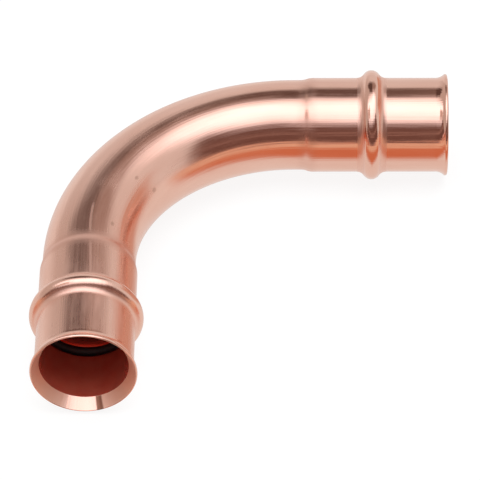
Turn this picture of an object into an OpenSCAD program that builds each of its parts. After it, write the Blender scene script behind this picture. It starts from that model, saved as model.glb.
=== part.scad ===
// Long-radius press elbow for copper tube: a bent tube with an expanded socket on each end.
// Each socket has a flared mouth and a rolled bead, and the bead holds a seal ring that grips the tube.
// Sizes are millimetres and angles are degrees. The elbow lies flat with +Z up. The origin is on the
// axis of socket A, at the step where the tube's end stops, and +X points out of that socket's mouth.

/* [Tube] */
// Outside diameter of the tube that each socket takes
tube_od = 15.88; // [6.35:0.01:35]
// Gap on diameter between the tube and its socket
socket_gap = 0.12; // [0.06:0.01:0.4]
// Thickness of the elbow's wall
wall = 0.88; // [0.5:0.01:2]

/* [Bend] */
// Radius of the bend's centre line
bend_radius = 37.5; // [15:0.5:120]
// Angle that the bend turns through
bend_angle = 90; // [15:1:180]
// Straight tube between the bend and the step of each socket
shank = 1.2; // [0.2:0.1:40]

/* [Socket] */
// Depth from the mouth to the step that stops the tube
socket_depth = 25.3; // [18:0.1:60]
// How much smaller the bend's radius is than the socket's
stop_step = 0.4; // [0.2:0.05:1.4]
// Inside radius of the two curves that make the step
step_radius = 3; // [0.3:0.1:6]
// Inside radius of the curve that opens the mouth
flare_radius = 2.4; // [1:0.1:8]
// Angle that the mouth opens to on each side
flare_angle = 40; // [10:1:60]
// How far the radius of the mouth's rounded edge is over half the wall
edge_ease = 0.06; // [0.02:0.01:0.2]

/* [Bead] */
// Distance from the mouth to the middle of the bead
bead_place = 14.3; // [5:0.1:23]
// Radius of the fillet at each foot of the bead
bead_fillet = 1.6; // [0.3:0.05:2.5]

/* [Seal ring] */
// Thickness of the ring's round section
ring_section = 1.6; // [1:0.05:3.5]
// How far the ring stands in past the tube's surface while no tube is in the socket
ring_squeeze = 0.14; // [0.05:0.01:0.5]
// Gap between the ring and the bead round it
ring_gap = 0.05; // [0.02:0.01:0.3]

/* [Hidden] */
$fn = 96;

// Curves that would only touch are sunk into each other by this much, so that they join
weld = 0.0002;

// Radii of the socket and of the bent tube
socket_ir = (tube_od + socket_gap) / 2;
socket_or = socket_ir + wall;
bend_ir = socket_ir - stop_step;
bend_or = bend_ir + wall;

// The ring's centre circle, which is also the centre of the bead's crown
ring_r = tube_od / 2 - ring_squeeze + ring_section / 2;
crown_radius = ring_section / 2 + ring_gap + wall;

// The bead's fillets run from its crown to the socket's wall
fillet_r = socket_or + bead_fillet - weld;
fillet_reach = crown_radius + bead_fillet - weld;
bead_half = sqrt(pow(fillet_reach, 2) - pow(fillet_r - ring_r, 2));

// The step is two equal curves that turn the wall inwards and back
shoulder_r = socket_ir - step_radius + weld;
throat_r = bend_or + step_radius - weld;
step_reach = 2 * step_radius + wall - weld;
step_length = sqrt(pow(step_reach, 2) - pow(throat_r - shoulder_r, 2));

// The flare turns the wall outwards about this radius, and its middle line about flare_mid
flare_r = socket_or + flare_radius - weld;
flare_mid = flare_radius + wall / 2;
edge_radius = wall / 2 + edge_ease;

// The bevel inside the mouth runs from the foot of the flare through the middle of the rounded edge
edge_run = flare_mid * sin(flare_angle);
edge_rise = flare_radius + wall - flare_mid * cos(flare_angle);
bevel_angle = atan2(edge_rise, edge_run);
flare_length = edge_run + edge_radius * cos(bevel_angle);

// Heights along a socket's axis, from its joint with the bend towards its mouth
step_z = shank + step_length;
mouth_z = step_z + socket_depth;
bead_z = mouth_z - bead_place;
flare_z = mouth_z - flare_length;

// Half section of a round crown and of the hollow curve that leads from it down to the tube.
// The crown is cut off where the hollow curve ends.
module crown_and_fillet(crown, crown_curve, hollow, hollow_curve) {
    side = sign(crown[1] - hollow[1]);
    intersection() {
        translate(crown)
            circle(r = crown_curve);
        translate([0, hollow[1]])
            scale([1, side])
                square([crown[0] + 2 * crown_curve, abs(crown[1] - hollow[1]) + 2 * crown_curve]);
    }
    difference() {
        polygon([crown, hollow, [0, hollow[1]], [0, crown[1]]]);
        translate(hollow)
            circle(r = hollow_curve);
    }
}

// Half section of the step between a socket and the bend
module filled_step(depth) {
    crown = [shoulder_r, step_z];
    hollow = [throat_r, shank];
    crown_and_fillet(crown, step_radius + wall - depth, hollow, step_radius + depth);
}

// Half section of the bead, made of two like sides
module filled_bead(depth) {
    crown = [ring_r, 0];
    hollow = [fillet_r, bead_half];
    translate([0, bead_z])
        for (side = [0, 1])
            mirror([0, side])
                crown_and_fillet(crown, crown_radius - depth, hollow, bead_fillet + depth);
}

// Half section of the flare, carried on past the mouth
module filled_flare(depth) {
    difference() {
        translate([0, flare_z])
            square([flare_r, flare_length + wall]);
        translate([flare_r, flare_z])
            circle(r = flare_radius + depth);
    }
}

// Half section of a socket filled in to its axis: the outside at depth 0, the inside at depth wall.
// The radius runs along X and the axis along Y, with the joint with the bend at 0.
module filled_socket(depth) {
    translate([0, -depth])
        square([bend_or - depth, step_z + depth + wall]);
    filled_step(depth);
    translate([0, step_z])
        square([socket_or - depth, flare_z - step_z + wall / 2]);
    filled_bead(depth);
    filled_flare(depth);
}

// What is cut off past the mouth, which leaves the edge round
module past_mouth() {
    reach = flare_radius + 2 * wall;
    translate([flare_r, flare_z])
        rotate(180 - flare_angle)
            difference() {
                translate([0, -reach])
                    square(reach);
                translate([flare_mid, 0])
                    circle(r = edge_radius);
            }
}

// What is cut off inside the mouth, which leaves a bevel that leads the tube in
module mouth_bevel() {
    translate([socket_ir, flare_z])
        rotate(-bevel_angle)
            translate([-socket_ir, -wall])
                square([socket_ir, flare_length + 3 * wall]);
}

// Half section of a socket's wall
module socket_section() {
    difference() {
        filled_socket(0);
        filled_socket(wall);
        mouth_bevel();
        past_mouth();
    }
}

// A whole socket about Z, with its joint with the bend at the origin and its mouth up
module socket() {
    rotate_extrude()
        socket_section();
}

// The bent tube, which starts where socket A ends
module bent_tube() {
    translate([-step_z, -bend_radius, 0])
        rotate([0, 0, 90])
            rotate_extrude(angle = bend_angle)
                translate([bend_radius, 0])
                    difference() {
                        circle(r = bend_or);
                        circle(r = bend_ir);
                    }
}

// A seal ring about Z, in the bead of a socket that stands as above
module seal_ring() {
    translate([0, 0, bead_z])
        rotate_extrude()
            translate([ring_r, 0])
                circle(r = ring_section / 2);
}

// Lays what was made about Z along the axis of socket A
module at_socket_a() {
    translate([-step_z, 0, 0])
        rotate([0, 90, 0])
            children();
}

// Lays what was made about Z along the axis of socket B, at the far end of the bend
module at_socket_b() {
    translate([-step_z, -bend_radius, 0])
        rotate([0, 0, bend_angle])
            translate([0, bend_radius, 0])
                rotate([0, -90, 0])
                    children();
}

module elbow_body() {
    color("#d98d72") {
        at_socket_a() socket();
        bent_tube();
        at_socket_b() socket();
    }
}

module o_ring_a() {
    color("#161617") at_socket_a() seal_ring();
}

module o_ring_b() {
    color("#161617") at_socket_b() seal_ring();
}

elbow_body();
o_ring_a();
o_ring_b();
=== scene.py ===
from math import acos, asin, atan2, cos, degrees, pi, radians, sin, sqrt

import bpy
from mathutils import Matrix, Vector


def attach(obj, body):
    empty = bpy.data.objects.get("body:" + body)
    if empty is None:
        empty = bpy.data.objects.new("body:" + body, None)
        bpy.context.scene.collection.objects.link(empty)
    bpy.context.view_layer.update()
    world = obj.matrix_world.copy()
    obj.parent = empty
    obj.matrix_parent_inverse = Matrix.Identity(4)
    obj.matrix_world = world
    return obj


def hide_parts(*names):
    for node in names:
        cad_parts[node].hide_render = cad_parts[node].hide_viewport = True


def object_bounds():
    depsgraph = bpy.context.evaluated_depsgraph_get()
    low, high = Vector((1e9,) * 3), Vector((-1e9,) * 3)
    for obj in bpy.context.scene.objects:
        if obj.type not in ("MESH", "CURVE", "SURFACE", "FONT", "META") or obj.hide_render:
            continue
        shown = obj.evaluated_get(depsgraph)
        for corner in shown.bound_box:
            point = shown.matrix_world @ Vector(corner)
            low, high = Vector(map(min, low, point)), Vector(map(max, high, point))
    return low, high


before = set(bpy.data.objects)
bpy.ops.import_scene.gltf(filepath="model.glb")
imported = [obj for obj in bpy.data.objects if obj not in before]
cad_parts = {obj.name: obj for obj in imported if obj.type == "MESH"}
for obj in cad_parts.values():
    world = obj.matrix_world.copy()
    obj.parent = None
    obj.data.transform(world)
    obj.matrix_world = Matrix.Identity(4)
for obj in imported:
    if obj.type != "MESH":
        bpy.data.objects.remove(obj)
cad_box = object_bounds()

# Elbow body
# One length of drawn copper tube, bent cold through a right angle over a mandrel. Each end is expanded
# to a socket with a step that stops the pipe, a rolled bead for the seal and a flared, trimmed mouth.
# Sizes are in millimetres in the section and become metres where the tube is formed.

MM = 0.001
wall = 0.88
socket_bore = 8.0
bend_bore = 7.6
bend_radius = 37.5
bend_angle = pi / 2
socket_depth = 25.3
shank = 1.2
bead_place = 11.0
bead_circle = 8.6
bead_inside = 0.85
bead_fillet = 1.6
step_curve = 3.0
flare_curve = 2.4
flare_opening = 40.0
mouth_round = 0.5
mouth_ease = 0.1
step_rise = bend_bore - socket_bore + wall + 2 * step_curve
step_length = sqrt((wall + 2 * step_curve) ** 2 - step_rise ** 2)
socket_end = -step_length - shank
flare_middle = flare_curve + wall / 2
edge_run = flare_middle * sin(radians(flare_opening))
edge_rise = flare_curve + wall - flare_middle * cos(radians(flare_opening))
bevel = degrees(atan2(edge_rise, edge_run))
flare_place = socket_depth - edge_run - mouth_round * cos(radians(bevel))
socket_run = socket_depth - socket_end
bend_run = bend_radius * bend_angle
whole_run = 2 * socket_run + bend_run
bend_centre = (socket_end, -bend_radius, 0.0)

# Numbers that tell the faces of the wall apart
outer_face = 0.0
bevel_face = 1.0
inner_face = 2.0

# Rows of points on each stretch of the section, and the circle of points that it is turned on
ease_rows = 6
edge_rows = 8
flare_rows = 12
bevel_rows = 14
lip_rows = 18
fillet_rows = 12
crown_rows = 26
stop_rows = 14
step_rows = 10
bend_rows = 80
tube_sides = 128
blank_circle = 10.0


def arc(place, radius, size, first, last, rows):
    """Points on an arc of the section, from first to last in degrees, where 0 looks out of the mouth."""
    points = []
    for row in range(rows + 1):
        angle = radians(first + (last - first) * row / rows)
        points.append((place + size * cos(angle), radius + size * sin(angle)))
    return points


def straight(start, end, rows):
    """Points between two ends of a straight stretch, closer together near the ends."""
    points = []
    for row in range(1, rows):
        share = (1 - cos(pi * row / rows)) / 2
        points.append((start[0] + (end[0] - start[0]) * share, start[1] + (end[1] - start[1]) * share))
    return points


def mouth_wall():
    """The rounded edge of the mouth and the outside of its flare, from the bevel to the socket's wall."""
    place = flare_place + edge_run
    radius = socket_bore + edge_rise
    centre = socket_bore + wall + flare_curve
    reach = sqrt((mouth_round - mouth_ease) ** 2 - mouth_ease ** 2)
    lean = degrees(atan2(mouth_ease, reach))
    ease_place = place + (mouth_round - mouth_ease) * cos(radians(bevel + lean))
    ease_radius = radius + (mouth_round - mouth_ease) * sin(radians(bevel + lean))
    sides = flare_curve ** 2 + flare_middle ** 2 - mouth_round ** 2
    opening = flare_opening + degrees(acos(sides / (2 * flare_curve * flare_middle)))
    tip = (
        flare_place + flare_curve * sin(radians(opening)),
        centre - flare_curve * cos(radians(opening)),
    )
    shoulder = degrees(atan2(tip[1] - radius, tip[0] - place))
    points = arc(ease_place, ease_radius, mouth_ease, bevel - 90, bevel + lean, ease_rows)
    points += arc(place, radius, mouth_round, bevel + lean, shoulder, edge_rows)[1:]
    return points + arc(flare_place, centre, flare_curve, opening - 90, -90, flare_rows)[1:]


def socket_wall(skin):
    """A socket's face from flare to bend: the inner one at skin 0, the outer one at skin wall."""
    bore = socket_bore + skin
    throat = bend_bore + skin
    crown = bead_inside + skin
    lining = wall - skin
    fillet = bead_fillet + lining
    fillet_centre = socket_bore + wall + bead_fillet
    reach = bead_inside + wall + bead_fillet
    spread = sqrt(reach ** 2 - (fillet_centre - bead_circle) ** 2)
    lean = degrees(asin((fillet_centre - bead_circle) / reach))
    shoulder = step_curve + skin
    hollow = step_curve + lining
    shoulder_centre = socket_bore - step_curve
    hollow_centre = bend_bore + wall + step_curve
    slant = degrees(atan2(step_rise, -step_length))
    near_side = bead_place + spread
    far_side = bead_place - spread
    points = straight((flare_place, bore), (near_side, bore), lip_rows)
    points += arc(near_side, fillet_centre, fillet, -90, lean - 180, fillet_rows)
    points += arc(bead_place, bead_circle, crown, lean, 180 - lean, crown_rows)[1:]
    points += arc(far_side, fillet_centre, fillet, -lean, -90, fillet_rows)[1:]
    points += straight((far_side, bore), (0.0, bore), stop_rows)
    points += arc(0.0, shoulder_centre, shoulder, 90, slant, step_rows)
    points += arc(-step_length, hollow_centre, hollow, slant - 180, -90, step_rows)[1:]
    return points + [(socket_end, throat)]


def elbow_section():
    """The wall of the straight tube as one closed loop: distance along, distance from the axis, face."""
    edge = mouth_wall()
    foot = (flare_place, socket_bore)
    outer = [(*point, outer_face) for point in edge + socket_wall(wall)]
    inner = [(*point, bevel_face) for point in straight(edge[0], foot, bevel_rows)]
    inner += [(*point, inner_face) for point in [foot] + socket_wall(0.0)]
    outside = bend_bore + wall
    outer_bend = straight((0.0, outside), (bend_run, outside), bend_rows)
    inner_bend = straight((bend_run, bend_bore), (0.0, bend_bore), bend_rows)
    loop = [(socket_depth - place, radius, face) for place, radius, face in outer]
    loop += [(socket_run + run, radius, outer_face) for run, radius in outer_bend]
    loop += [(whole_run - socket_depth + place, radius, face) for place, radius, face in reversed(outer)]
    loop += [(whole_run - socket_depth + place, radius, face) for place, radius, face in inner]
    loop += [(socket_run + run, radius, inner_face) for run, radius in inner_bend]
    loop += [(socket_depth - place, radius, face) for place, radius, face in reversed(inner)]
    return loop


def put(tree, kind, inputs, **settings):
    """Adds a node whose inputs are plain values or the outputs of other nodes."""
    node = tree.nodes.new(kind)
    for name, value in settings.items():
        setattr(node, name, value)
    for name, value in inputs.items():
        if isinstance(value, bpy.types.NodeSocket):
            tree.links.new(value, node.inputs[name])
        else:
            node.inputs[name].default_value = value
    return node


def reckon(tree, operation, first, second=0.0):
    """The result of one sum on one or two numbers."""
    return put(tree, "ShaderNodeMath", {0: first, 1: second}, operation=operation).outputs[0]


def open_sockets(tree, kind, names):
    """Gives a tree its named inputs of one kind."""
    for name in names:
        tree.interface.new_socket(name, in_out="INPUT", socket_type=kind)


def finish_shape(tree, geometry, finish):
    """Smooths a tree's shape, makes it real, gives it its material and hands it out of the tree."""
    smooth = put(tree, "GeometryNodeSetShadeSmooth", {"Geometry": geometry})
    whole = put(tree, "GeometryNodeRealizeInstances", {"Geometry": smooth.outputs["Geometry"]})
    coloured = put(
        tree,
        "GeometryNodeSetMaterial",
        {"Geometry": whole.outputs["Geometry"], "Material": finish},
    )
    put(tree, "NodeGroupOutput", {0: coloured.outputs["Geometry"]})


def attribute_of(tree, name):
    """A number that each point of the forming mesh carries."""
    node = put(tree, "GeometryNodeInputNamedAttribute", {"Name": name}, data_type="FLOAT")
    return node.outputs["Attribute"]


def tube_forming(finish):
    """Turns the wall's section round the axis, then lays the tube round the bend."""
    tree = bpy.data.node_groups.new("tube_forming", "GeometryNodeTree")
    open_sockets(tree, "NodeSocketGeometry", ["Section"])
    open_sockets(tree, "NodeSocketInt", ["Sides"])
    open_sockets(tree, "NodeSocketFloat", ["Bend start", "Bend radius", "Bend angle"])
    open_sockets(tree, "NodeSocketVector", ["Bend centre"])
    tree.interface.new_socket("Elbow", in_out="OUTPUT", socket_type="NodeSocketGeometry")
    given = tree.nodes.new("NodeGroupInput").outputs
    section = put(tree, "GeometryNodeMeshToCurve", {"Mesh": given["Section"]})
    circle = put(
        tree,
        "GeometryNodeCurvePrimitiveCircle",
        {"Resolution": given["Sides"], "Radius": blank_circle * MM},
    )
    index = tree.nodes.new("GeometryNodeInputIndex").outputs[0]
    share = reckon(tree, "DIVIDE", index, given["Sides"])
    angle = reckon(tree, "MULTIPLY", share, 2 * pi)
    turned = put(
        tree,
        "GeometryNodeStoreNamedAttribute",
        {"Geometry": circle.outputs["Curve"], "Name": "around", "Value": angle},
        data_type="FLOAT",
        domain="POINT",
    )
    skin = put(
        tree,
        "GeometryNodeCurveToMesh",
        {"Curve": turned.outputs["Geometry"], "Profile Curve": section.outputs["Curve"]},
    )
    along = attribute_of(tree, "along")
    away = attribute_of(tree, "away")
    around = attribute_of(tree, "around")
    across = reckon(tree, "MULTIPLY", away, reckon(tree, "COSINE", around))
    upward = reckon(tree, "MULTIPLY", away, reckon(tree, "SINE", around))
    drawn = put(tree, "ShaderNodeCombineXYZ", {"X": along, "Y": across, "Z": upward}).outputs[0]
    kept = put(
        tree,
        "GeometryNodeStoreNamedAttribute",
        {"Geometry": skin.outputs["Mesh"], "Name": "drawn", "Value": drawn},
        data_type="FLOAT_VECTOR",
        domain="POINT",
    )
    past_start = reckon(tree, "SUBTRACT", along, given["Bend start"])
    arc_angle = reckon(tree, "DIVIDE", past_start, given["Bend radius"])
    turn = put(
        tree,
        "ShaderNodeClamp",
        {"Value": arc_angle, "Min": 0.0, "Max": given["Bend angle"]},
    ).outputs[0]
    bent_length = reckon(tree, "MULTIPLY", turn, given["Bend radius"])
    short_of = reckon(tree, "SUBTRACT", bent_length, past_start)
    outward = reckon(tree, "ADD", given["Bend radius"], across)
    lever = put(tree, "ShaderNodeCombineXYZ", {"X": short_of, "Y": outward, "Z": upward}).outputs[0]
    swung = put(tree, "ShaderNodeVectorRotate", {"Vector": lever, "Angle": turn}, rotation_type="Z_AXIS")
    place = put(
        tree,
        "ShaderNodeVectorMath",
        {0: swung.outputs[0], 1: given["Bend centre"]},
        operation="ADD",
    )
    bent = put(
        tree,
        "GeometryNodeSetPosition",
        {"Geometry": kept.outputs["Geometry"], "Position": place.outputs[0]},
    )
    finish_shape(tree, bent.outputs["Geometry"], finish)
    return tree


def formed(name, start, tree, sizes):
    """The finished plain mesh of a piece that a tree makes from its starting mesh."""
    piece = bpy.data.objects.new(name, start)
    bpy.context.scene.collection.objects.link(piece)
    forming = piece.modifiers.new("forming", "NODES")
    forming.node_group = tree
    for socket in tree.interface.items_tree:
        if socket.name in sizes:
            forming[socket.identifier] = sizes[socket.name]
    depsgraph = bpy.context.evaluated_depsgraph_get()
    mesh = bpy.data.meshes.new_from_object(piece.evaluated_get(depsgraph), depsgraph=depsgraph)
    piece.modifiers.clear()
    piece.data = mesh
    mesh.name = name
    return piece


def bare_shade(owner):
    """The emptied node tree of a material or of the room, which becomes the shade at hand."""
    owner.use_nodes = True
    owner.node_tree.nodes.clear()
    return owner.node_tree


def times(first, second):
    """Two numbers of the shade at hand multiplied, which for shares is where both hold."""
    return reckon(shade, "MULTIPLY", first, second)


def plus(first, second):
    """Two numbers of the shade at hand added up."""
    return reckon(shade, "ADD", first, second)


def minus(first, second):
    """A number of the shade at hand less another one."""
    return reckon(shade, "SUBTRACT", first, second)


def larger(first, second):
    """The larger of two numbers of the shade at hand."""
    return reckon(shade, "MAXIMUM", first, second)


def in_degrees(angle):
    """An angle of the shade at hand, turned from radians to degrees."""
    return times(angle, 180 / pi)


def carried(value, low, high, low_result, high_result, curve="LINEAR"):
    """A number of the shade at hand, carried over from one span to another and kept within it."""
    return put(
        shade,
        "ShaderNodeMapRange",
        {"Value": value, "From Min": low, "From Max": high, "To Min": low_result, "To Max": high_result},
        interpolation_type=curve,
    ).outputs["Result"]


def between(value, low, high, low_soft, high_soft):
    """1 where a number of the shade at hand lies between two bounds, fading over the widths outside."""
    rise = carried(value, low - low_soft, low, 0.0, 1.0, "SMOOTHSTEP")
    fall = carried(value, high, high + high_soft, 1.0, 0.0, "SMOOTHSTEP")
    return times(rise, fall)


def over(under, coat, share):
    """A colour of the shade at hand with a coat of another one laid over it, whole where share is 1."""
    return put(shade, "ShaderNodeMix", {0: share, 6: under, 7: coat}, data_type="RGBA").outputs[2]


def towards(first, second, share):
    """A number of the shade at hand that goes from one to another as share goes from 0 to 1."""
    return put(shade, "ShaderNodeMix", {0: share, 2: first, 3: second}, data_type="FLOAT").outputs[0]


def stretched(spot, patches):
    """Places of the shade at hand scaled to so many patches to the metre on each axis."""
    return put(shade, "ShaderNodeMapping", {"Vector": spot, "Scale": patches}).outputs[0]


def clouded(spot, scale, detail, roughness):
    """Soft random patches of the shade at hand, from 0 to 1."""
    return put(
        shade,
        "ShaderNodeTexNoise",
        {"Vector": spot, "Scale": scale, "Detail": detail, "Roughness": roughness},
    ).outputs["Fac"]


def graded(value, low, low_colour, high, high_colour):
    """A colour of the shade at hand that goes from one to another as a number goes from low to high."""
    ramp = put(shade, "ShaderNodeValToRGB", {"Fac": value})
    stops = ramp.color_ramp.elements
    stops[0].position = low
    stops[0].color = low_colour
    stops[1].position = high
    stops[1].color = high_colour
    return ramp.outputs["Color"]


# Colours of the copper and of the marks on it, with the shade, dark reflection and bounce light painted
# on it
copper_deep = (0.885, 0.53, 0.42, 1.0)
copper_pale = (0.935, 0.595, 0.485, 1.0)
# Painted shade on the step
step_shade_brown = (0.62, 0.31, 0.23, 1.0)
spot_brown = (0.42, 0.24, 0.17, 1.0)
scraped_pale = (0.97, 0.66, 0.52, 1.0)
# Painted dark reflection on the bevel
reflection_brown = (0.20, 0.075, 0.04, 1.0)
# Red of the inside: oxide film and painted bounce light
film_and_bounce_red = (0.80, 0.135, 0.08, 1.0)
film_and_bounce_pale = (0.90, 0.205, 0.13, 1.0)
# Painted shade deep in the bore
deep_shade_brown = (0.42, 0.10, 0.065, 1.0)

# Patches to the metre, first along the tube and then across it
tint_patches = (45.0, 160.0, 160.0)
smear_patches = (110.0, 420.0, 420.0)
film_patches = (220.0, 260.0, 260.0)
wave_patches = (70.0, 140.0, 140.0)

# Streaks of the drawing to the metre along the tube and to the radian round it, and the axes across it
drawing_along = (35.0, 0.0, 0.0)
drawing_around = (22.0, 22.0, 22.0)
off_axis = (0.0, 1.0, 1.0)

# Roughness of each place, and what the front arm and the scraping add to it
bright_rough = 0.12
plain_rough = 0.21
front_added = 0.06
matt_rough = 0.45
bevel_rough = 0.24
scraped_added = 0.3
film_rough = 0.2

# Shares of the colour, the metal or the roughness that each mark or painted shade changes
step_shade_share = 0.3
spot_tint = 0.45
reflection_share = 0.9
deep_shade_share = 0.55
film_cover = 0.4
step_matt = 0.8
drag_matt = 0.75
pinch_matt = 0.6
bead_shine = 0.6
burnish = 0.5
step_wear = 3.5

# Places in millimetres along the tube from the right-hand mouth, and sizes of bands across it
bright_end = 20.0
plain_start = 65.0
front_start = 92.0
drag_start = 82.0
drag_end = 100.0
reflection_length = 2.1
bead_half = 1.6
pinch_start = 1.5
pinch_end = 2.6
step_half = 0.6
mouth_shine = 2.0

# Angles round the tube in degrees, and how far the dragged line turns in each millimetre
drag_turn = 71.4
drag_slope = 0.25
drag_half = 0.8
rubbed_start = -104.0
rubbed_end = -70.0
reflection_start = -109.5
reflection_end = -104.5

# Depths of the relief in metres
wave_depth = 0.00005
drawing_depth = 0.000024

# Each dark spot's place along the tube, its angle round it in degrees and its radius in millimetres
spot_places = ((69.8, 124.0, 0.45), (85.0, 120.5, 0.5), (68.0, 152.5, 0.6))
spot_narrowing = 0.6

copper = bpy.data.materials.new("polished_copper")
shade = bare_shade(copper)
drawn = put(shade, "ShaderNodeAttribute", {}, attribute_name="drawn").outputs["Vector"]
face = put(shade, "ShaderNodeAttribute", {}, attribute_name="face").outputs["Fac"]
past_bevel = minus(face, bevel_face)
inside = larger(past_bevel, 0.0)
trimmed = minus(1.0, reckon(shade, "ABSOLUTE", past_bevel))
parts = put(shade, "ShaderNodeSeparateXYZ", {"Vector": drawn}).outputs
run = reckon(shade, "DIVIDE", parts["X"], MM)
turn = in_degrees(reckon(shade, "ARCTAN2", parts["Z"], parts["Y"]))
from_end = reckon(shade, "MINIMUM", run, minus(whole_run, run))
rolled = socket_depth - bead_place
step_middle = socket_depth + step_length / 2

# The polish, with the lines of the drawing, smears of handling and a shine on the beads and mouths
tint = clouded(stretched(drawn, tint_patches), scale=1.0, detail=4.0, roughness=0.6)
tone = graded(tint, 0.3, copper_deep, 0.7, copper_pale)
across = put(shade, "ShaderNodeVectorMath", {0: drawn, 1: off_axis}, operation="MULTIPLY")
round_axis = put(shade, "ShaderNodeVectorMath", {0: across.outputs[0]}, operation="NORMALIZE")
spread = put(
    shade,
    "ShaderNodeVectorMath",
    {0: round_axis.outputs[0], 1: drawing_around},
    operation="MULTIPLY",
)
lengthwise = put(
    shade,
    "ShaderNodeVectorMath",
    {0: drawn, 1: drawing_along, 2: spread.outputs[0]},
    operation="MULTIPLY_ADD",
)
drawing = clouded(lengthwise.outputs[0], scale=1.0, detail=3.0, roughness=0.6)
front_arm = between(run, front_start, whole_run, low_soft=10.0, high_soft=1.0)
wear = carried(run, bright_end, plain_start, bright_rough, plain_rough, "SMOOTHSTEP")
wear = plus(wear, times(front_arm, front_added))
grain = carried(drawing, low=0.3, high=0.7, low_result=0.86, high_result=1.16)
smear = clouded(stretched(drawn, smear_patches), scale=1.0, detail=3.0, roughness=0.55)
handled = carried(smear, low=0.45, high=0.75, low_result=0.95, high_result=1.45)
bead_band = between(from_end, rolled - bead_half, rolled + bead_half, low_soft=0.8, high_soft=0.8)
mouth_band = between(from_end, -1.0, mouth_shine, low_soft=1.0, high_soft=0.8)
burnished = larger(times(bead_band, bead_shine), mouth_band)
polish = times(times(times(wear, grain), handled), minus(1.0, times(burnished, burnish)))

# The marks: the dull step with painted shade, the line dragged on the bend, the dark spots, the scraped
# bevel and a painted dark reflection on it
step_start = step_middle - step_half
step_band = between(from_end, step_start, step_middle + step_half, low_soft=2.0, high_soft=2.0)
worked_and_shaded = times(step_band, times(wear, step_wear))
# The step band is rougher, and darker with painted shade
colour = over(tone, step_shade_brown, times(worked_and_shaded, step_shade_share))
line_turn = minus(turn, plus(times(run, drag_slope), drag_turn))
line_width = between(line_turn, -drag_half, drag_half, low_soft=1.3, high_soft=1.3)
drag_line = times(line_width, between(run, drag_start, drag_end, low_soft=2.0, high_soft=1.0))
dark_spots = 0.0
for place, angle, size in spot_places:
    sideways = times(minus(turn, angle), radians(bend_bore + wall))
    lengthways = times(minus(run, place), spot_narrowing)
    square = plus(times(sideways, sideways), times(lengthways, lengthways))
    dark_spots = larger(dark_spots, between(square, -1.0, 0.0, low_soft=1.0, high_soft=size ** 2))
# Small darker spots on the bend, drawn only as colour
colour = over(colour, spot_brown, times(dark_spots, spot_tint))
rubbed = between(turn, rubbed_start, rubbed_end, low_soft=8.0, high_soft=10.0)
scraped = times(trimmed, minus(1.0, rubbed))
colour = over(colour, scraped_pale, scraped)
# A narrow stripe of painted dark reflection across the front mouth's bevel
reflection_across = between(turn, reflection_start, reflection_end, low_soft=2.5, high_soft=2.5)
reflection_along = between(run, whole_run - reflection_length, whole_run, low_soft=0.3, high_soft=1.0)
colour = over(colour, reflection_brown, times(times(reflection_across, reflection_along), reflection_share))

# The red film inside, partly real oxide and partly painted light bounced between the copper walls, with
# painted shade making it browner past the seal
oxide = clouded(stretched(drawn, film_patches), scale=1.0, detail=4.0, roughness=0.6)
film_and_bounce = graded(oxide, 0.3, film_and_bounce_red, 0.75, film_and_bounce_pale)
shaded_past_seal = between(from_end, rolled, whole_run, low_soft=1.0, high_soft=1.0)
# Painted shade makes the bore browner past the seal
bore = over(film_and_bounce, deep_shade_brown, times(shaded_past_seal, deep_shade_share))
colour = over(colour, bore, inside)

# The roughness of the marks, of the pinched feet of the beads, of the bevel and of the inside
bead_offset = reckon(shade, "ABSOLUTE", minus(from_end, rolled))
pinched = between(bead_offset, pinch_start, pinch_end, low_soft=0.3, high_soft=0.3)
matt_share = larger(times(worked_and_shaded, step_matt), times(drag_line, drag_matt))
matt_share = larger(matt_share, times(pinched, pinch_matt))
polish = towards(polish, matt_rough, matt_share)
polish = towards(polish, plus(bevel_rough, times(scraped, scraped_added)), trimmed)
polish = towards(polish, film_rough, inside)

waviness = clouded(stretched(drawn, wave_patches), scale=1.0, detail=1.0, roughness=0.5)
waves = put(shade, "ShaderNodeBump", {"Height": waviness, "Strength": 1.0, "Distance": wave_depth})
lines = put(
    shade,
    "ShaderNodeBump",
    {"Height": drawing, "Strength": 1.0, "Distance": drawing_depth, "Normal": waves.outputs["Normal"]},
)
metal = put(
    shade,
    "ShaderNodeBsdfPrincipled",
    {
        "Base Color": colour,
        "Metallic": minus(1.0, times(inside, film_cover)),
        "Roughness": polish,
        "Normal": lines.outputs["Normal"],
    },
)
put(shade, "ShaderNodeOutputMaterial", {"Surface": metal.outputs["BSDF"]})

section = elbow_section()
tube = bpy.data.meshes.new("tube_section")
count = len(section)
tube.from_pydata(
    [(along * MM, away * MM, 0.0) for along, away, face in section],
    [(number, (number + 1) % count) for number in range(count)],
    [],
)
facts = {
    "along": [along * MM for along, away, face in section],
    "away": [away * MM for along, away, face in section],
    "face": [face for along, away, face in section],
}
for name, values in facts.items():
    tube.attributes.new(name, "FLOAT", "POINT").data.foreach_set("value", values)
elbow = formed(
    "copper_elbow",
    tube,
    tube_forming(copper),
    {
        "Sides": tube_sides,
        "Bend start": socket_run * MM,
        "Bend radius": bend_radius * MM,
        "Bend angle": bend_angle,
        "Bend centre": [value * MM for value in bend_centre],
    },
)
for name in ("along", "away", "around"):
    elbow.data.attributes.remove(elbow.data.attributes[name])
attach(elbow, "root")
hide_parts("elbow_body")

# Seal rings
# Two moulded rings of black rubber, one in the groove inside each bead. They are pushed in at the mouth
# and stay by their own spring, standing a little proud of the bore until a pipe squeezes them.

ring_cord = 0.8
ring_sides = 160
cord_sides = 32
socket_b_axis = bend_centre[0] - bend_radius
socket_b_stop = bend_centre[1] + socket_end
rubber_black = (0.014, 0.013, 0.014, 1.0)
rubber_bloom = (0.035, 0.032, 0.032, 1.0)
pore_depth = 0.000008


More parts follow.
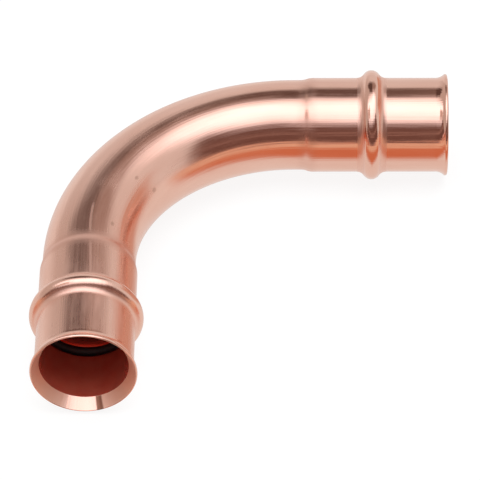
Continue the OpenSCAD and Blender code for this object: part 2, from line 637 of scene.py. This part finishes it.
def ring_moulding(finish):
    """A round cord swept round a circle, turned and set into its groove."""
    tree = bpy.data.node_groups.new("ring_moulding", "GeometryNodeTree")
    open_sockets(tree, "NodeSocketGeometry", ["Blank"])
    open_sockets(tree, "NodeSocketInt", ["Ring sides", "Cord sides"])
    open_sockets(tree, "NodeSocketFloat", ["Ring radius", "Cord radius"])
    open_sockets(tree, "NodeSocketVector", ["Centre", "Turn"])
    tree.interface.new_socket("Ring", in_out="OUTPUT", socket_type="NodeSocketGeometry")
    given = tree.nodes.new("NodeGroupInput").outputs
    circles = {}
    for part in ("Ring", "Cord"):
        circles[part] = put(
            tree,
            "GeometryNodeCurvePrimitiveCircle",
            {"Resolution": given[part + " sides"], "Radius": given[part + " radius"]},
        ).outputs["Curve"]
    swept = put(
        tree,
        "GeometryNodeCurveToMesh",
        {"Curve": circles["Ring"], "Profile Curve": circles["Cord"]},
    )
    laid = put(
        tree,
        "GeometryNodeTransform",
        {"Geometry": swept.outputs["Mesh"], "Translation": given["Centre"], "Rotation": given["Turn"]},
    )
    finish_shape(tree, laid.outputs["Geometry"], finish)
    return tree


rubber = bpy.data.materials.new("black_seal_rubber")
shade = bare_shade(rubber)
spot = put(shade, "ShaderNodeTexCoord", {}).outputs["Object"]
mottle = clouded(spot, scale=2400.0, detail=4.0, roughness=0.7)
bloom = graded(mottle, 0.35, rubber_black, 0.8, rubber_bloom)
satin = carried(mottle, low=0.3, high=0.7, low_result=0.38, high_result=0.6)
pores = put(shade, "ShaderNodeBump", {"Height": mottle, "Strength": 1.0, "Distance": pore_depth})
skin = put(
    shade,
    "ShaderNodeBsdfPrincipled",
    {
        "Base Color": bloom,
        "Roughness": satin,
        "Specular IOR Level": 0.4,
        "Normal": pores.outputs["Normal"],
    },
)
put(shade, "ShaderNodeOutputMaterial", {"Surface": skin.outputs["BSDF"]})

moulding = ring_moulding(rubber)
ring_places = {
    "o_ring_a": ((bead_place, 0.0, 0.0), (0.0, pi / 2, 0.0)),
    "o_ring_b": ((socket_b_axis, socket_b_stop - bead_place, 0.0), (pi / 2, 0.0, 0.0)),
}
for node_name, (centre, tilt) in ring_places.items():
    ring = formed(
        node_name.replace("o_ring", "rubber_ring"),
        bpy.data.meshes.new("ring_blank"),
        moulding,
        {
            "Ring sides": ring_sides,
            "Cord sides": cord_sides,
            "Ring radius": bead_circle * MM,
            "Cord radius": ring_cord * MM,
            "Centre": [value * MM for value in centre],
            "Turn": list(tilt),
        },
    )
    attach(ring, "root")
    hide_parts(node_name)

# Floor
# A plain white sheet that the elbow lies on, resting on its two beads. It shows white to the camera and
# keeps a soft shadow under the tube.

floor_level = cad_box[0][2]
floor_half = 3.0
paper_white = (0.9, 0.9, 0.9, 1.0)
full_white = (1.0, 1.0, 1.0, 1.0)
white_share = 0.85
corners = [(-1, -1), (1, -1), (1, 1), (-1, 1)]
floor_mesh = bpy.data.meshes.new("white_sheet")
floor_mesh.from_pydata(
    [(x * floor_half, y * floor_half, floor_level) for x, y in corners],
    [],
    [(0, 1, 2, 3)],
)
floor = bpy.data.objects.new("white_sheet", floor_mesh)
bpy.context.scene.collection.objects.link(floor)
sheet = bpy.data.materials.new("white_paper")
shade = bare_shade(sheet)
rays = put(shade, "ShaderNodeLightPath", {}).outputs
mirrored = larger(rays["Is Glossy Ray"], rays["Is Transmission Ray"])
seen = larger(rays["Is Camera Ray"], mirrored)
paper = put(shade, "ShaderNodeBsdfDiffuse", {"Color": paper_white})
white = put(shade, "ShaderNodeEmission", {"Color": full_white, "Strength": 1.03})
mixed = put(
    shade,
    "ShaderNodeMixShader",
    {0: times(seen, white_share), 1: paper.outputs[0], 2: white.outputs[0]},
)
put(shade, "ShaderNodeOutputMaterial", {"Surface": mixed.outputs[0]})
floor_mesh.materials.append(sheet)
floor.visible_glossy = False

# Studio room
# The room that the copper mirrors: a large soft light overhead, a dark gap behind it, the dark side where
# the camera stands, a warm card low on that side, a warm streak low on the right, and pale walls and
# table all round. Heights and bearings are in degrees, and a bearing of 0 is straight ahead.

table_white = (0.82, 0.80, 0.78, 1.0)
wall_white = (0.75, 0.74, 0.73, 1.0)
wall_grey = (0.57, 0.52, 0.49, 1.0)
gap_brown = (0.34, 0.26, 0.23, 1.0)
gap_dark = (0.11, 0.07, 0.06, 1.0)
side_dark = (0.16, 0.085, 0.07, 1.0)
side_brown = (0.32, 0.20, 0.17, 1.0)
card_orange = (0.64, 0.225, 0.12, 1.0)
card_tan = (0.80, 0.55, 0.40, 1.0)
streak_orange = (0.60, 0.30, 0.20, 1.0)
lamp_white = (1.95, 1.95, 2.08, 1.0)
lamp_tan = (0.66, 0.53, 0.48, 1.0)
ceiling_dim = (0.14, 0.14, 0.14, 1.0)
ceiling_light = (0.85, 0.85, 0.85, 1.0)
gap_lean = 0.33
card_lean = 0.28
streak_lean = 0.6
streak_bearing = 45.0
streak_share = 0.85
lowest_rise = 0.05
skew_width = 0.2
skew_share = 0.9
room = bpy.data.worlds.new("studio_room")
bpy.context.scene.world = room
shade = bare_shade(room)
way = put(shade, "ShaderNodeTexCoord", {}).outputs["Generated"]
parts = put(shade, "ShaderNodeSeparateXYZ", {"Vector": way}).outputs
height = in_degrees(reckon(shade, "ARCSINE", parts["Z"]))
bearing = in_degrees(reckon(shade, "ARCTAN2", parts["X"], parts["Y"]))
off_ahead = reckon(shade, "ABSOLUTE", bearing)
behind = minus(180.0, off_ahead)

# The walls and the table
above = between(height, 2, 90, low_soft=4, high_soft=1)
left_wall = between(bearing, -180, -45, low_soft=1, high_soft=40)
view = over(table_white, wall_white, above)
view = over(view, wall_grey, times(above, left_wall))

# The gap behind the light, which is darker on the left
gap_height = between(plus(height, times(off_ahead, gap_lean)), 43, 66, low_soft=10, high_soft=9)
gap_right = between(bearing, 0, 33, low_soft=8, high_soft=13)
gap_left = between(bearing, -38, 0, low_soft=5, high_soft=10)
view = over(view, gap_brown, times(gap_height, gap_right))
view = over(view, gap_dark, times(gap_height, gap_left))

# The dark side of the room, with a paler line across it
side_width = between(behind, -1, 62, low_soft=1, high_soft=12)
side_height = between(height, 0, 46, low_soft=4, high_soft=8)
dark_side = times(side_width, side_height)
pale_line = between(height, 19, 21, low_soft=3, high_soft=3)
view = over(view, side_dark, dark_side)
view = over(view, side_brown, times(dark_side, pale_line))

# The warm card, paler at its top, and the warm streak
card_foot = between(minus(height, times(behind, card_lean)), -42, 90, low_soft=20, high_soft=1)
card_head = between(height, -90, -4, low_soft=1, high_soft=3)
card_width = between(behind, -1, 72, low_soft=1, high_soft=18)
warm_card = times(card_width, times(card_foot, card_head))
card_top = between(height, -13, -6, low_soft=9, high_soft=3)
view = over(view, card_orange, warm_card)
view = over(view, card_tan, times(warm_card, card_top))
streak_width = between(bearing, 28, 74, low_soft=8, high_soft=10)
sloping = minus(height, times(minus(bearing, streak_bearing), streak_lean))
streak_height = between(sloping, -22, 6, low_soft=10, high_soft=6)
view = over(view, streak_orange, times(times(streak_width, streak_height), streak_share))

# The light overhead as a flat panel, with its left front corner toned down
steep = larger(parts["Z"], lowest_rise)
panel_x = reckon(shade, "DIVIDE", parts["X"], steep)
panel_y = reckon(shade, "DIVIDE", parts["Y"], steep)
skew = put(shade, "ShaderNodeClamp", {"Value": panel_x, "Min": 0.0, "Max": skew_width}).outputs[0]
panel_width = between(panel_x, -1.2, 0.35, low_soft=0.3, high_soft=0.75)
skewed_y = minus(panel_y, times(skew, skew_share))
panel_length = between(skewed_y, 0.05, -0.1, low_soft=1.65, high_soft=0.65)
overhead = between(height, 6, 90, low_soft=3, high_soft=1)
view = over(view, lamp_white, times(times(panel_width, panel_length), overhead))
corner_length = between(panel_y, -0.5, -0.2, low_soft=0.3, high_soft=0.2)
corner_width = between(panel_x, -1.2, -0.6, low_soft=0.3, high_soft=0.12)
view = over(view, lamp_tan, times(times(corner_length, corner_width), overhead))

# What the copper mirrors, what the camera sees and what lights the rest
rays = put(shade, "ShaderNodeLightPath", {}).outputs
mirrored = larger(rays["Is Glossy Ray"], rays["Is Transmission Ray"])
ceiling = over(ceiling_dim, ceiling_light, between(height, 50, 90, low_soft=45, high_soft=1))
even = put(shade, "ShaderNodeBackground", {"Color": ceiling, "Strength": 1.0})
white = put(shade, "ShaderNodeBackground", {"Color": full_white, "Strength": 1.0})
studio = put(shade, "ShaderNodeBackground", {"Color": view, "Strength": 1.0})
lit = put(
    shade,
    "ShaderNodeMixShader",
    {0: rays["Is Camera Ray"], 1: even.outputs[0], 2: white.outputs[0]},
)
shown = put(shade, "ShaderNodeMixShader", {0: mirrored, 1: lit.outputs[0], 2: studio.outputs[0]})
put(shade, "ShaderNodeOutputWorld", {"Surface": shown.outputs[0]})

# Soft light
# One wide softbox above the elbow gives the even light and the soft shadow on the sheet. The copper
# doesn't mirror it, because the room has its own picture of the light.

softbox = bpy.data.lights.new("softbox", "AREA")
softbox.shape = "RECTANGLE"
softbox.size = 0.7
softbox.size_y = 0.6
softbox.energy = 4.6
softbox_place = bpy.data.objects.new("softbox", softbox)
softbox_place.location = (0.05, -0.15, 0.75)
softbox_place.rotation_euler = (radians(-9), 0.0, 0.0)
softbox_place.visible_glossy = False
bpy.context.scene.collection.objects.link(softbox_place)

# Camera
# A long lens looks down on the elbow from the side of the front socket, at the photograph's angle. It
# is aimed at about the middle of the elbow's box and rolled very slightly.

aim = Vector((-13.56, -31.71, 0.0)) * MM
azimuth = radians(1.02)
elevation = radians(43.41)
roll = radians(-0.73)
distance = 0.721
back = Vector((sin(azimuth) * cos(elevation), -cos(azimuth) * cos(elevation), sin(elevation)))
lens = bpy.data.cameras.new("camera")
lens.lens = 294.8
lens.sensor_width = 36.0
lens.clip_start = 0.01
lens.clip_end = 50.0
camera = bpy.data.objects.new("camera", lens)
camera.matrix_world = (
    Matrix.Translation(aim + back * distance)
    @ back.to_track_quat("Z", "Y").to_matrix().to_4x4()
    @ Matrix.Rotation(roll, 4, "Z")
)
bpy.context.scene.collection.objects.link(camera)
bpy.context.scene.camera = camera
bpy.context.scene.view_settings.view_transform = "Standard"
